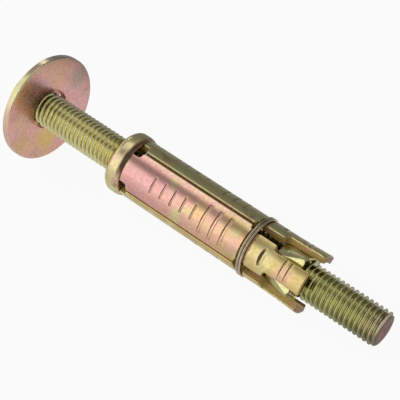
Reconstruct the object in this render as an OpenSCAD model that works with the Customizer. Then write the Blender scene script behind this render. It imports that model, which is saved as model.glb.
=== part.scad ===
// Expansion shield anchor with a loose bolt, lying along X.
// The origin is on the axis, in the plane of the wall face.
// The bolt's head is on the -X side and its tip on the +X side.

/* [Bolt] */
// Outer diameter of the threaded shank
bolt_d = 12; // [11:0.1:12.6]
// Length of the shank under the head
bolt_len = 140; // [125:1:180]
// Distance from the wall face to the underside of the head
head_reach = 36.9; // [20:0.5:50]
// Width across the flats of the head
head_flats = 18; // [17:0.5:22]
// Height of the head
head_h = 7.5; // [5:0.5:10]
// Diameter of the flat on top of the head
head_crown_d = 17.1; // [15:0.1:17.6]
// Diameter of the bearing face under the head
head_bearing_d = 16.6; // [14.5:0.1:16.9]
// Height of the bearing face
head_bearing_h = 0.6; // [0.2:0.1:1]
// Length of the chamfer at the tip
tip_chamfer = 0.8; // [0.3:0.1:1.5]

/* [Washer] */
// Outer diameter of the washer
washer_d = 37.4; // [28:0.2:44]
// Diameter of its hole
washer_hole_d = 14; // [13.4:0.1:15]
// Thickness of the washer
washer_t = 2.6; // [1.5:0.1:4]
// Radius on the edges of its rim
washer_edge = 0.5; // [0.1:0.1:0.7]
// Lean of the washer, back at the top
washer_lean = 6.2; // [0:0.1:7]
// Turn of the washer, about the upright
washer_turn = 3.3; // [0:0.1:4]

/* [Ferrule] */
// Largest diameter of the drawn ferrule
ferrule_d = 21.5; // [21.2:0.1:23]
// Depth of the ferrule
ferrule_len = 6; // [5.4:0.1:9]
// Diameter of the hole for the bolt
ferrule_hole_d = 13.2; // [12.8:0.1:14.4]
// Thickness of its end wall
ferrule_face_t = 1.1; // [0.8:0.1:1.5]
// Thickness of its side wall
ferrule_side_t = 1.15; // [1:0.05:1.3]
// Radius from the end wall to the side
ferrule_round = 2; // [0.8:0.1:2.4]
// Diameter over the lip that is closed on the segments
ferrule_lip_d = 20; // [19.6:0.1:20.8]
// Length over which the side closes down to the lip
swell_len = 2.4; // [1.8:0.1:3]
// Length of the throat inside the lip
throat_len = 1.9; // [1.6:0.1:2.4]

/* [Shield] */
// Diameter over the four segments
shield_d = 19.8; // [19.3:0.1:20.2]
// Thickness of the segments
shield_wall = 2.3; // [1.9:0.1:2.6]
// Width of the slot between two segments
slot_w = 0.86; // [0.5:0.02:1.4]
// Length of the narrow neck outside the ferrule
neck_len = 2.8; // [2:0.1:5]
// Half of the neck's angle
neck_half = 29.7; // [24:0.1:34]
// Length of the body between the neck and the shoulder
body_len = 44.2; // [34:0.2:70]
// Length of the stretch that holds the ring
ring_len = 3.6; // [3.4:0.1:5]
// Length of the wide pad after the ring
pad_len = 6.9; // [6:0.1:9]
// Half of the angle of the shoulder and the pad
pad_half = 34; // [31:0.5:36]
// Length from the ring to where the pad is thick on its inside
pad_relief = 1; // [0.5:0.1:2]
// Length of the narrow end after the pad
tip_len = 12.5; // [11:0.5:18]
// Half of the narrow end's angle
tip_half = 22; // [18:0.5:24]
// How much wider half the angle is at the very end
tip_widen = 2.5; // [0:0.5:4]
// Length over which the end widens
widen_len = 2; // [1:0.5:4]
// How far the end is sprung outwards
tip_flare = 0.4; // [0:0.05:0.6]
// Length of the narrow end that is still straight
flare_from = 2; // [1:0.5:5]
// Radius at the inner corners of the cut outline
notch_round = 1; // [0.3:0.1:1.4]
// Radius at the outer corners of the cut outline
corner_round = 0.8; // [0.2:0.1:1.2]
// Bevel on the turned edges of a segment
edge_break = 0.3; // [0.1:0.05:0.5]

/* [Pressed bars] */
// Depth of the bars on the body and the narrow end
bar_depth = 0.15; // [0.05:0.05:0.3]
// Number of bars on the body
bar_count = 3; // [1:1:5]
// Width of a body bar
bar_w = 1; // [0.5:0.1:1.6]
// Distance from one body bar to the next
bar_step = 4.1; // [2:0.1:6]
// Half of the angle that a body bar covers
bar_half = 28.6; // [15:0.2:34]
// Distance from the last body bar to the shoulder
bar_from_shoulder = 6.3; // [3:0.1:10]
// Width of the pad's bar
pad_bar_w = 1.7; // [0.8:0.1:2.4]
// Distance from the start of the pad to the middle of its bar
pad_bar_at = 4.7; // [2:0.1:5]
// Half of the angle that the pad's bar covers
pad_bar_half = 17; // [8:0.5:24]
// Depth of the pad's bar
pad_bar_depth = 0.4; // [0.1:0.05:0.6]
// Width of the two fine bars on the narrow end
fine_bar_w = 0.9; // [0.4:0.1:1.3]
// Distance between the fine bars
fine_bar_step = 2.1; // [1.6:0.1:3]
// Distance from the start of the narrow end to between the fine bars
fine_bar_at = 6.5; // [4:0.1:8]
// Half of the angle that a fine bar covers
fine_bar_half = 21; // [12:0.5:21.5]

/* [Ring] */
// Diameter of the spring wire
wire_d = 0.88; // [0.6:0.02:1]
// Distance between the two turns of the wire
wire_pitch = 0.94; // [0.9:0.02:1.1]
// Number of turns
wire_turns = 2; // [1:0.25:2]
// Depth of the groove that the wire lies in
groove_depth = 0.45; // [0.2:0.05:0.7]
// How much wider the groove is than the coil
groove_play = 0.3; // [0.1:0.05:0.5]

/* [Nut] */
// Length of the nut
nut_len = 9.8; // [8:0.1:11]
// Side of the square that the nut is made from
nut_square = 13.8; // [13.5:0.1:14]
// Diameter of the nut's narrow end
nut_nose_d = 13.9; // [13.6:0.1:14.2]
// Bevel on the edge of the narrow end
nut_nose_bevel = 0.4; // [0.2:0.1:0.8]
// Half of the cone's angle
nut_cone = 13.8; // [11:0.1:14]
// Chamfer at the nut's wide end
nut_chamfer = 0.6; // [0.2:0.1:1]
// How far the nut reaches into the pads
nut_reach = 0.3; // [0.2:0.1:2]

/* [Clearances] */
// Between the bolt and the nut, on the radius
thread_clear = 0.05; // [0.02:0.01:0.1]
// Between the bolt and the washer that it lies in
washer_clear = 0.12; // [0.1:0.01:0.3]
// Between the segments, the ferrule and the nut
seat_clear = 0.15; // [0.12:0.01:0.25]
// Between the wire and the bottom of its groove
wire_clear = 0.06; // [0.05:0.01:0.12]

/* [Hidden] */
smooth = 96;
past = 1; // how far a cutter runs past what it cuts

gold = "#c9b878";
rose = "#dba79c";
olive = "#a8a35e";
straw = "#d3c27e";
pale = "#b9ad98";

bolt_r = bolt_d / 2;
ferrule_r = ferrule_d / 2;
lip_r = ferrule_lip_d / 2;
shield_r = shield_d / 2;
shield_inner_r = shield_r - shield_wall;

// The ferrule's cavity, the throat inside its lip and the curve down to the lip
cavity_r = ferrule_r - ferrule_side_t;
throat_r = lip_r - ferrule_side_t;
throat_x = ferrule_len - throat_len;
swell_x = ferrule_len - swell_len;
swell_drop = ferrule_r - lip_r;
swell_round = (swell_len * swell_len + swell_drop * swell_drop) / (2 * swell_drop);

// Places along the shield
hook_x = ferrule_face_t + seat_clear;
neck_x = ferrule_len + seat_clear;
body_x = ferrule_len + neck_len;
shoulder_x = body_x + body_len;
pad_x = shoulder_x + ring_len;
tip_x = pad_x + pad_len;
end_x = tip_x + tip_len;

// The ring's groove ends where the pad starts
wire_r = wire_d / 2;
coil_len = wire_turns * wire_pitch + wire_d;
coil_r = shield_r - groove_depth + wire_clear + wire_r;
groove_len = coil_len + groove_play;
groove_x = pad_x - groove_len;

// The nut's nose sits in the pads, which have a lead-in beside its cone
nut_x = tip_x - nut_reach;
nut_nose_r = nut_nose_d / 2;
nut_slope = tan(nut_cone);
pad_inner_r = nut_nose_r + seat_clear;
lead_in = (shield_inner_r - pad_inner_r) / nut_slope;

// The washer leans back on the bearing face, and the bolt lies in its hole
lean_total = acos(cos(washer_lean) * cos(washer_turn));
washer_lift = washer_hole_d / 2 * cos(lean_total) - bolt_r - washer_clear;
washer_x = washer_clear + washer_t * cos(lean_total) - head_reach
         + head_bearing_d / 2 * tan(lean_total);

// A profile of [radius, place along X] pairs turned about X
module turned() { rotate([90, 0, 90]) rotate_extrude($fn = smooth) children(); }

// A sector of a turned profile, centred on +Z
module turned_sector(half) {
    rotate([90, 0, 90]) rotate([0, 0, 90 - half])
        rotate_extrude(angle = 2 * half, $fn = smooth) children();
}

module bolt() {
    corner_r = head_flats / 2 / cos(30);
    crown_r = head_crown_d / 2;
    crown_slope = tan(30);
    under = -head_reach;
    top = under - head_h;
    end = bolt_len - head_reach;
    color(olive) union() {
        turned() polygon([[0, under - past], [bolt_r, under - past], [bolt_r, end - tip_chamfer],
                          [bolt_r - tip_chamfer, end], [0, end]]);
        turned() translate([0, under - head_bearing_h - past])
            square([head_bearing_d / 2, head_bearing_h + past]);
        intersection() {
            translate([top, 0, 0]) rotate([90, 0, 90])
                cylinder(r = corner_r, h = head_h - head_bearing_h, $fn = 6);
            turned() polygon([[0, top], [crown_r, top],
                              [corner_r + past, top + (corner_r + past - crown_r) * crown_slope],
                              [corner_r + past, under], [0, under]]);
        }
    }
}

// The washer's place is the centre of its front face
module washer() {
    rim_r = washer_d / 2;
    hole_r = washer_hole_d / 2;
    edge = washer_edge;
    color(rose) translate([washer_x, 0, washer_lift]) rotate([0, -washer_lean, -washer_turn])
        turned() translate([0, -washer_t]) {
            translate([hole_r, 0]) square([rim_r - edge - hole_r, washer_t]);
            translate([hole_r, edge]) square([rim_r - hole_r, washer_t - 2 * edge]);
            translate([rim_r - edge, edge]) circle(r = edge, $fn = smooth);
            translate([rim_r - edge, washer_t - edge]) circle(r = edge, $fn = smooth);
        }
}

module ferrule() {
    color(gold) turned() difference() {
        union() {
            // End wall, rounded corner and side
            square([ferrule_r - ferrule_round, swell_x]);
            translate([0, ferrule_round]) square([ferrule_r, swell_x - ferrule_round]);
            translate([ferrule_r - ferrule_round, ferrule_round])
                circle(r = ferrule_round, $fn = smooth);
            // Curve that closes down to the lip
            intersection() {
                translate([ferrule_r - swell_round, swell_x])
                    circle(r = swell_round, $fn = 2 * smooth);
                translate([throat_r - past, ferrule_round])
                    square([ferrule_r, ferrule_len - ferrule_round]);
            }
        }
        translate([-past, -past]) square([ferrule_hole_d / 2 + past, ferrule_len + 2 * past]);
        polygon([[0, ferrule_face_t], [cavity_r, ferrule_face_t], [cavity_r, throat_x],
                 [throat_r, throat_x + cavity_r - throat_r],
                 [throat_r, ferrule_len + past], [0, ferrule_len + past]]);
    }
}

// Wall of a segment: hook, throat, body, ring groove, pad and sprung end
module segment_profile() {
    hook_r = cavity_r - seat_clear;
    waist_r = throat_r - seat_clear;
    hook_end = throat_x - seat_clear;
    bevel = edge_break;
    thick_x = pad_x + pad_relief;
    inner_end_r = shield_inner_r + tip_flare;
    outer_end_r = shield_r + tip_flare;
    difference() {
        polygon([[shield_inner_r, hook_x], [hook_r - bevel, hook_x], [hook_r, hook_x + bevel],
                 [hook_r, hook_end], [waist_r, hook_end + bevel], [waist_r, neck_x],
                 [shield_r - bevel, neck_x], [shield_r, neck_x + bevel],
                 [shield_r, tip_x + flare_from], [outer_end_r, end_x - bevel],
                 [outer_end_r - bevel, end_x], [outer_end_r - bevel, end_x + past],
                 [inner_end_r, end_x + past], [inner_end_r, end_x],
                 [shield_inner_r, nut_x + lead_in + flare_from],
                 [shield_inner_r, nut_x + lead_in], [pad_inner_r, nut_x],
                 [pad_inner_r, thick_x + shield_inner_r - pad_inner_r],
                 [shield_inner_r, thick_x]]);
        translate([shield_r - groove_depth, groove_x]) square([groove_depth + past, groove_len]);
    }
}

// Gap between two segments, drawn flat at a radius: X along, Y across
module gap_outline(at_r) {
    neck_w = at_r * tan(45 - neck_half);
    pad_w = at_r * tan(45 - pad_half);
    tip_w = at_r * tan(45 - tip_half);
    end_w = at_r * tan(45 - tip_half - tip_widen);
    slot_half = slot_w / 2 * at_r / shield_r;
    beyond = end_x + 3 * past;
    offset(r = -corner_round) offset(delta = corner_round) union() {
        translate([-past, -slot_half]) square([end_x + past, 2 * slot_half]);
        offset(r = notch_round) offset(delta = -notch_round)
            translate([-3 * past, -neck_w]) square([body_x + 3 * past, 2 * neck_w]);
        offset(r = notch_round) offset(delta = -notch_round)
            translate([shoulder_x, -pad_w]) square([end_x - shoulder_x, 2 * pad_w]);
        offset(r = notch_round) offset(delta = -notch_round)
            polygon([[tip_x, -tip_w], [end_x - widen_len, -tip_w], [beyond, -end_w],
                     [beyond, end_w], [end_x - widen_len, tip_w], [tip_x, tip_w]]);
        translate([end_x, -at_r]) square([3 * past, 2 * at_r]);
    }
}

// The gap as a cutter whose sides point at the axis
module gap_cutter() {
    high = shield_r + tip_flare + past;
    low = pad_inner_r - past;
    translate([0, 0, high]) rotate([180, 0, 0])
        linear_extrude(height = high - low, scale = [1, low / high])
            gap_outline(high, $fn = 16);
}

// A band pressed into the outer face, centred on +Z
module pressed_bar(x, width, half, depth) {
    turned_sector(half) translate([shield_r - depth, x - width / 2])
        square([depth + tip_flare + past, width]);
}

// One of the four segments, turned about the axis from the top
module segment(turn) {
    last_bar = shoulder_x - bar_from_shoulder;
    rotate([turn, 0, 0]) difference() {
        turned_sector(45) segment_profile();
        rotate([45, 0, 0]) gap_cutter();
        rotate([-45, 0, 0]) gap_cutter();
        for (i = [0 : bar_count - 1])
            pressed_bar(last_bar - i * bar_step, bar_w, bar_half, bar_depth);
        pressed_bar(pad_x + pad_bar_at, pad_bar_w, pad_bar_half, pad_bar_depth);
        for (side = [-0.5, 0.5])
            pressed_bar(tip_x + fine_bar_at + side * fine_bar_step, fine_bar_w,
                        fine_bar_half, bar_depth);
    }
}

// A point on the wire: a degrees along the coil, b degrees round the wire
function wire_point(a, b) = let (r = coil_r + wire_r * cos(b))
    [groove_x + groove_play / 2 + wire_r + wire_pitch * a / 360 + wire_r * sin(b),
     r * cos(a), r * sin(a)];

module wire_ring() {
    sides = 8;
    steps = round(40 * wire_turns);
    points = [for (i = [0 : steps], k = [0 : sides - 1])
              wire_point(i * wire_turns * 360 / steps, k * 360 / sides)];
    skin = [for (i = [0 : steps - 1], k = [0 : sides - 1])
            let (n = (k + 1) % sides)
            [i * sides + k, (i + 1) * sides + k, (i + 1) * sides + n, i * sides + n]];
    start = [[for (k = [0 : sides - 1]) k]];
    finish = [[for (k = [sides - 1 : -1 : 0]) steps * sides + k]];
    color(pale) polyhedron(points = points, faces = concat(skin, start, finish),
                           convexity = 4);
}

// A cone turned on square bar, so that its corners stand in the gaps
module expander_nut() {
    wide = nut_len - nut_chamfer;
    wide_r = nut_nose_r + nut_slope * wide;
    bevel = nut_nose_bevel;
    color(straw) translate([nut_x, 0, 0]) difference() {
        intersection() {
            turned() polygon([[0, 0], [nut_nose_r - bevel, 0],
                              [nut_nose_r + nut_slope * bevel, bevel], [wide_r, wide],
                              [wide_r - nut_chamfer, nut_len], [0, nut_len]]);
            translate([nut_len / 2, 0, 0]) rotate([45, 0, 0])
                cube([nut_len + past, nut_square, nut_square], center = true);
        }
        translate([-past, 0, 0]) rotate([90, 0, 90])
            cylinder(r = bolt_r + thread_clear, h = nut_len + 2 * past, $fn = smooth);
    }
}

bolt();
washer();
ferrule();
color(rose) segment(45);  // segment_front_top
color(olive) segment(-45);  // segment_back_top
color(olive) segment(-135);  // segment_back_bottom
color(gold) segment(135);  // segment_front_bottom
wire_ring();
expander_nut();
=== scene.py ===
"""Looks, stage and camera for an expansion shield anchor, built round its packed frame."""
import math
from functools import partial

import bmesh
import bpy
import numpy as np
from bpy.props import FloatProperty, FloatVectorProperty, IntProperty, PointerProperty
from mathutils import Matrix, Vector, noise


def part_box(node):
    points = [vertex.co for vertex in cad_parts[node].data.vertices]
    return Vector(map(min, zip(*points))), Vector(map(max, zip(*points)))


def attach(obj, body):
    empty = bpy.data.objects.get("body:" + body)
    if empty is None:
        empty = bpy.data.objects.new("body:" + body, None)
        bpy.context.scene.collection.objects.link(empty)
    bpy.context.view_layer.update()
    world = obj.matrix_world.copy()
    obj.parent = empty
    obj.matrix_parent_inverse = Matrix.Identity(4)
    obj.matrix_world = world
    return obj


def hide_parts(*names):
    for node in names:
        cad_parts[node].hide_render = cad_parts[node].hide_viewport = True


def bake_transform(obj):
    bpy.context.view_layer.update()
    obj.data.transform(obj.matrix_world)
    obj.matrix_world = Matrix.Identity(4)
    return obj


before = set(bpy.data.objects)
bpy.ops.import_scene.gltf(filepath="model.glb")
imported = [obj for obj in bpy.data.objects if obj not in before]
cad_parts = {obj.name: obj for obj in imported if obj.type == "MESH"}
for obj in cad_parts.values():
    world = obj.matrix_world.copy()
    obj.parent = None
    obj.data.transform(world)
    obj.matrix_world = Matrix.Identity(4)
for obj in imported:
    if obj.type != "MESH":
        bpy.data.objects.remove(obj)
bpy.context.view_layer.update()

bl_info = {
    "name": "Expansion shield anchor",
    "version": (1, 0, 0),
    "blender": (4, 5, 0),
    "location": "View3D > Sidebar > Anchor",
    "description": "Threaded bolt, washer, ferrule, segments, wire ring and cone nut of an anchor",
    "category": "Object",
}

MM = 0.001
# Where the middle of each segment stands, in degrees about X from +Y towards +Z
SEGMENTS = {
    "segment_back_top": 45,
    "segment_front_top": 135,
    "segment_front_bottom": 225,
    "segment_back_bottom": 315,
}
BOLT_LOW, BOLT_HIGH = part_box("bolt")
FERRULE_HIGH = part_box("ferrule")[1]
RING_LOW, RING_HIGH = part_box("wire_ring")
NUT_LOW, NUT_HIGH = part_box("expander_nut")
SEGMENT_LOW, SEGMENT_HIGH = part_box("segment_back_top")


def length(name, description, millimetres):
    """A size in millimetres that the panel shows as a length."""
    return FloatProperty(name=name, description=description, default=millimetres * MM, min=0.0,
                         unit="LENGTH", subtype="DISTANCE", precision=5)


def angle(name, description, degrees):
    """An angle, given in degrees and kept in radians."""
    return FloatProperty(name=name, description=description, default=math.radians(degrees),
                         unit="ROTATION", subtype="ANGLE")


def share(name, description, value):
    """A share from 0 to 1."""
    return FloatProperty(name=name, description=description, default=value, min=0.0, max=1.0,
                         subtype="FACTOR")


def colour(name, description, rgb):
    """A linear colour."""
    return FloatVectorProperty(name=name, description=description, default=rgb, size=3,
                               min=0.0, max=1.0, subtype="COLOR")


class AnchorBoltSizes(bpy.types.PropertyGroup):
    """Sizes of the threaded bolt."""
    major: length("Thread radius", "Outer radius of the thread", 6.0)
    pitch: length("Pitch", "Distance from one crest to the next", 1.75)
    depth: length("Thread depth", "Depth of the thread from crest to root", 0.95)
    chamfer: length("Tip chamfer", "Depth of the chamfer at both ends", 0.8)
    dome: length("Tip dome", "Height of the dome on the bolt's end", 0.55)
    flats: length("Across flats", "Width of the head across its flats", 18.0)
    head: length("Head height", "Height of the head with its bearing face", 7.5)
    crown: length("Crown radius", "Radius of the flat on top of the head", 8.55)
    bearing: length("Bearing radius", "Radius of the bearing face", 8.3)
    bearing_height: length("Bearing height", "Height of the bearing face", 0.6)
    steps: IntProperty(name="Steps in a pitch", description="Rows of faces in one pitch",
                       default=12, min=6, max=24)
    sides: IntProperty(name="Sides", description="Faces round the thread", default=48, min=24,
                       max=96)


class AnchorWasherSizes(bpy.types.PropertyGroup):
    """Sizes and lean of the washer."""
    radius: length("Radius", "Outer radius", 18.695)
    hole: length("Hole radius", "Radius of the hole", 7.0)
    thickness: length("Thickness", "Thickness", 2.6)
    edge: length("Edge radius", "Radius on the edges of the rim", 0.45)
    lean: angle("Lean", "Lean of the washer, back at the top", 6.2)
    turn: angle("Turn", "Turn of the washer about the upright", 3.3)


class AnchorFerruleSizes(bpy.types.PropertyGroup):
    """Sizes of the drawn ferrule."""
    hole: length("Hole radius", "Radius of the hole for the bolt", 6.6)
    face: length("End wall", "Thickness of the end wall", 1.1)
    wall: length("Side wall", "Thickness of the side wall", 1.15)
    corner: length("Corner", "Radius from the end wall to the side", 2.0)
    lip: length("Lip radius", "Outer radius of the lip", 10.0)
    swell: length("Swell", "Length over which the side closes to the lip", 2.4)
    throat: length("Throat", "Length of the throat in the lip", 1.9)
    dents: length("Dents", "Depth of the dents left by closing the lip", 0.05)


class AnchorShieldSizes(bpy.types.PropertyGroup):
    """Sizes of the four pressed segments."""
    radius: length("Radius", "Outer radius of the shield", 9.9)
    wall: length("Wall", "Thickness of a segment", 2.3)
    slot: length("Slot", "Width of the slot between two segments", 0.86)
    neck: angle("Neck", "Half of the angle of the neck", 29.7)
    pad: angle("Pad", "Half of the angle of the pad", 34.0)
    end: angle("End", "Half of the angle of the narrow end", 22.0)
    widen: angle("End widening", "How much wider the end becomes", 2.0)
    body_from: length("Body from", "Where the neck widens to the body", 8.8)
    body_to: length("Body to", "Where the body ends at the shoulder", 53.0)
    pad_from: length("Pad from", "Where the pad starts after the ring", 56.6)
    pad_to: length("Pad to", "Where the pad ends", 63.5)
    groove: length("Groove", "Depth of the ring's groove", 0.45)
    groove_length: length("Groove length", "Length of the ring's groove", 3.06)
    flare: length("Flare", "How far the end is sprung outwards", 0.4)
    edge: length("Edge radius", "Radius on the outer edges", 0.36)
    corner: length("Corner", "Radius of the outline's corners", 0.75)
    bar_depth: length("Bar depth", "Depth of the bars on the body", 0.15)
    pad_bar_at: length("Pad bar place", "From the pad's start to its bar", 4.7)
    pad_bar_depth: length("Pad bar depth", "Depth of the bar on the pad", 0.4)


class AnchorRingSizes(bpy.types.PropertyGroup):
    """Sizes of the wire ring."""
    wire: length("Wire radius", "Radius of the wire", 0.44)
    pitch: length("Pitch", "Distance between the two turns", 0.94)
    sides: IntProperty(name="Sides", description="Faces round the wire", default=16, min=8,
                       max=32)


class AnchorNutSizes(bpy.types.PropertyGroup):
    """Sizes of the expander nut."""
    square: length("Square", "Half of the square that the nut is made from", 6.9)
    nose: length("Nose radius", "Radius of the narrow end", 6.95)
    cone: angle("Cone", "Half of the cone's angle", 13.8)
    chamfer: length("Chamfer", "Chamfer at the wide end", 0.6)
    bore: length("Bore radius", "Radius of the bore", 6.05)
    soft: length("Edge softness", "How far the edges are rounded over", 0.16)


class AnchorFinish(bpy.types.PropertyGroup):
    """Colours and roughness of the yellow passivated zinc."""
    pink: colour("Pink", "Pink of the thin film", (0.85, 0.45, 0.41))
    rose: colour("Rose", "Dusty rose of the washer", (0.95, 0.53, 0.51))
    peach: colour("Peach", "Peach of the thin film", (0.92, 0.55, 0.38))
    gold: colour("Gold", "Gold of the film", (0.72, 0.55, 0.22))
    amber: colour("Amber", "Gold orange of the washer's patch", (0.92, 0.64, 0.24))
    straw: colour("Straw", "Pale yellow of the film", (0.80, 0.70, 0.34))
    # Cream is also the painted highlight beside the front top segment's upper slot
    cream: colour("Cream", "Pale film beside the upper slot", (0.88, 0.62, 0.46))
    # Lemon is the painted highlight on the nut's flats
    lemon: colour("Lemon", "Brightest yellow of the film", (0.79, 0.84, 0.37))
    lime: colour("Lime", "Green yellow of the bolt", (0.84, 0.80, 0.43))
    olive: colour("Olive", "Darker green yellow of the film", (0.62, 0.62, 0.30))
    sage: colour("Sage", "Grey green of the film", (0.50, 0.46, 0.34))
    bronze: colour("Bronze", "Olive brown of the film", (0.50, 0.40, 0.21))
    khaki: colour("Khaki", "Olive grey of the segment behind", (0.66, 0.57, 0.29))
    # Brown and umber are also painted shade on the pressed walls and in the ring's groove
    brown: colour("Brown", "Brown of the pressed and bent places", (0.56, 0.34, 0.20))
    umber: colour("Umber", "Dark brown of the sheared ends", (0.36, 0.22, 0.14))
    mauve: colour("Mauve", "Mauve of the bolt's end", (0.56, 0.31, 0.29))
    # Dusk is a painted reflection of the dark far side, laid on the sides towards +Y; it is also
    # the mauve grey patch at the bolt's tip
    dusk: colour("Dusk", "Mauve grey of the far side", (0.66, 0.54, 0.46))
    # Violet is a painted reflection of the bolt in the washer beside it
    violet: colour("Violet", "Violet grey of the washer beside the bolt", (0.64, 0.43, 0.52))
    wire: colour("Wire", "Grey beige of the wire", (0.68, 0.60, 0.47))
    roughness: share("Roughness", "Roughness of the metal", 0.20)


class AnchorStageSizes(bpy.types.PropertyGroup):
    """Floor, light and camera."""
    floor: length("Floor", "Half of the floor's side", 6000.0)
    lens: FloatProperty(name="Lens", description="Focal length for a 36 mm sensor",
                        default=120.9, min=10.0, max=300.0)


GROUPS = {
    "anchor_bolt": AnchorBoltSizes,
    "anchor_washer": AnchorWasherSizes,
    "anchor_ferrule": AnchorFerruleSizes,
    "anchor_shield": AnchorShieldSizes,
    "anchor_ring": AnchorRingSizes,
    "anchor_nut": AnchorNutSizes,
    "anchor_finish": AnchorFinish,
    "anchor_stage": AnchorStageSizes,
}


def add(tree, kind, inputs=None, **settings):
    """A node with its settings, and its inputs set to values or linked to sockets."""
    item = tree.nodes.new(kind)
    for key, value in settings.items():
        setattr(item, key, value)
    for key, value in (inputs or {}).items():
        socket = item.inputs[key]
        if isinstance(value, bpy.types.NodeSocket):
            tree.links.new(value, socket)
        else:
            socket.default_value = value
    return item


def maths(tree, operation, *values):
    """The result of a Math node."""
    return add(tree, "ShaderNodeMath", dict(enumerate(values)), operation=operation).outputs[0]


def spread(tree, value, start, end, low=0.0, high=1.0):
    """A value between start and end, brought to the range from low to high."""
    inputs = {"Value": value, "From Min": start, "From Max": end, "To Min": low, "To Max": high}
    return add(tree, "ShaderNodeMapRange", inputs).outputs[0]


def separate(tree, vector):
    """The X, Y and Z of a vector."""
    return add(tree, "ShaderNodeSeparateXYZ", {"Vector": vector}).outputs


def ramp(tree, factor, stops):
    """The colour of a ramp through stops of (place, colour), with rising places."""
    item = add(tree, "ShaderNodeValToRGB", {"Fac": factor})
    elements = item.color_ramp.elements
    while len(elements) < len(stops):
        elements.new(1.0)
    for element, (place, value) in zip(elements, stops):
        element.position = place
        element.color = (*value, 1.0)
    return item.outputs["Color"]


def grey(value):
    """The same value in all three channels."""
    return (value, value, value)


def greys(tree, factor, stops):
    """The grey of a ramp through stops of (place, level)."""
    return ramp(tree, factor, [(place, grey(level)) for place, level in stops])


def mixed(tree, factor, first, second, blend="MIX"):
    """Two colours mixed."""
    item = tree.nodes.new("ShaderNodeMix")
    item.data_type = "RGBA"
    item.blend_type = blend
    for index, value in ((0, factor), (6, first), (7, second)):
        if isinstance(value, bpy.types.NodeSocket):
            tree.links.new(value, item.inputs[index])
        elif index == 0:
            item.inputs[index].default_value = value
        else:
            item.inputs[index].default_value = (*value, 1.0)
    return item.outputs[2]


def toward(tree, first, second, value, start, end, amount=1.0):
    """A colour that turns to a second one as a value goes from start to end."""
    return mixed(tree, spread(tree, value, start, end, 0.0, amount), first, second)


def cloud(tree, place, size, detail=2.0, roughness=0.5, distortion=0.0, offset=(0, 0, 0)):
    """Noise with patches of about that size in metres."""
    moved = add(tree, "ShaderNodeMapping", {"Vector": place, "Location": offset}).outputs[0]
    inputs = {"Vector": moved, "Scale": 1.0 / size, "Detail": detail, "Roughness": roughness,
              "Distortion": distortion}
    return add(tree, "ShaderNodeTexNoise", inputs).outputs["Fac"]


def empty_tree(owner):
    """The emptied node tree of a material or a world."""
    owner.use_nodes = True
    owner.node_tree.nodes.clear()
    return owner.node_tree


# Sizes of the film's mottling and of the metal's grain
MOTTLE_SIZE = 0.9 * MM
GRAIN_SIZE = 0.28 * MM
GRAIN_DEPTH = 0.012 * MM


def zinc(finish, name, stops, dulled, patch, along=None, offset=(0, 0, 0), shade=None,
         grain=0.35, tints=(), behind=None, spots=()):
    """Passivated zinc whose film changes colour in patches.

    stops are the film's colours, dulled is what the finish's roughness is raised by, patch is
    the size of the patches, along is (start, end, weight) for a drift of the colours along X,
    shade is (radius, radius, colour) for painted shade, a darker root below a crest, tints are
    (colour, size, low, high) for soft patches, behind is (start, end, colour) for a painted
    reflection, dark or light, on the side towards +Y, and spots are (colour, centre in mm,
    radius, amount) for single patches.
    """
    roughness = finish.roughness + dulled
    material = bpy.data.materials.new(name)
    tree = empty_tree(material)
    place = add(tree, "ShaderNodeTexCoord").outputs["Object"]
    x, y, z = separate(tree, place)
    patches = cloud(tree, place, patch, detail=3.0, roughness=0.55, distortion=0.6, offset=offset)
    factor = spread(tree, patches, 0.33, 0.67)
    if along:
        start, end, weight = along
        factor = maths(tree, "MULTIPLY_ADD", spread(tree, x, start, end), weight,
                       maths(tree, "MULTIPLY", factor, 1.0 - weight))
    film = ramp(tree, factor, stops)
    for number, (tone, size, low, high) in enumerate(tints):
        aside = (0.03 * (number + 1), 0.01, 0.0)
        tint = cloud(tree, place, size, distortion=0.4, offset=aside)
        film = toward(tree, film, tone, tint, low, high)
    if behind:
        start, end, tone = behind
        film = toward(tree, film, tone, y, start, end)
    for tone, centre, radius, amount in spots:
        core = 0.45 * radius
        away = add(tree, "ShaderNodeVectorMath",
                   {0: place, 1: tuple(v * MM for v in centre)}, operation="DISTANCE")
        ragged = maths(tree, "MULTIPLY_ADD", patches, 2 * core,
                       maths(tree, "SUBTRACT", away.outputs["Value"], core))
        film = toward(tree, film, tone, ragged, radius, core, amount)
    mottle = cloud(tree, place, MOTTLE_SIZE, detail=4.0, roughness=0.6, distortion=0.3,
                   offset=offset)
    film = mixed(tree, 1.0, film, greys(tree, mottle, [(0.3, 0.82), (0.62, 1.0)]), "MULTIPLY")
    # Painted shade: the film turns darker below a crest's radius, in the thread's roots
    if shade:
        inner, outer, value = shade
        square = maths(tree, "ADD", maths(tree, "MULTIPLY", y, y), maths(tree, "MULTIPLY", z, z))
        deep = spread(tree, maths(tree, "SQRT", square), inner, outer)
        tone = ramp(tree, deep, [(0.0, value), (1.0, grey(1.0))])
        film = mixed(tree, 1.0, film, tone, "MULTIPLY")
    rough = spread(tree, mottle, 0.3, 0.7, roughness + 0.06, roughness - 0.04)
    fine = cloud(tree, place, GRAIN_SIZE, detail=3.0, roughness=0.6)
    bump = add(tree, "ShaderNodeBump",
               {"Strength": grain, "Distance": GRAIN_DEPTH, "Height": fine}).outputs[0]
    shader = add(tree, "ShaderNodeBsdfPrincipled",
                 {"Base Color": film, "Roughness": rough, "Normal": bump, "Metallic": 1.0})
    add(tree, "ShaderNodeOutputMaterial", {"Surface": shader.outputs[0]})
    return material


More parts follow.
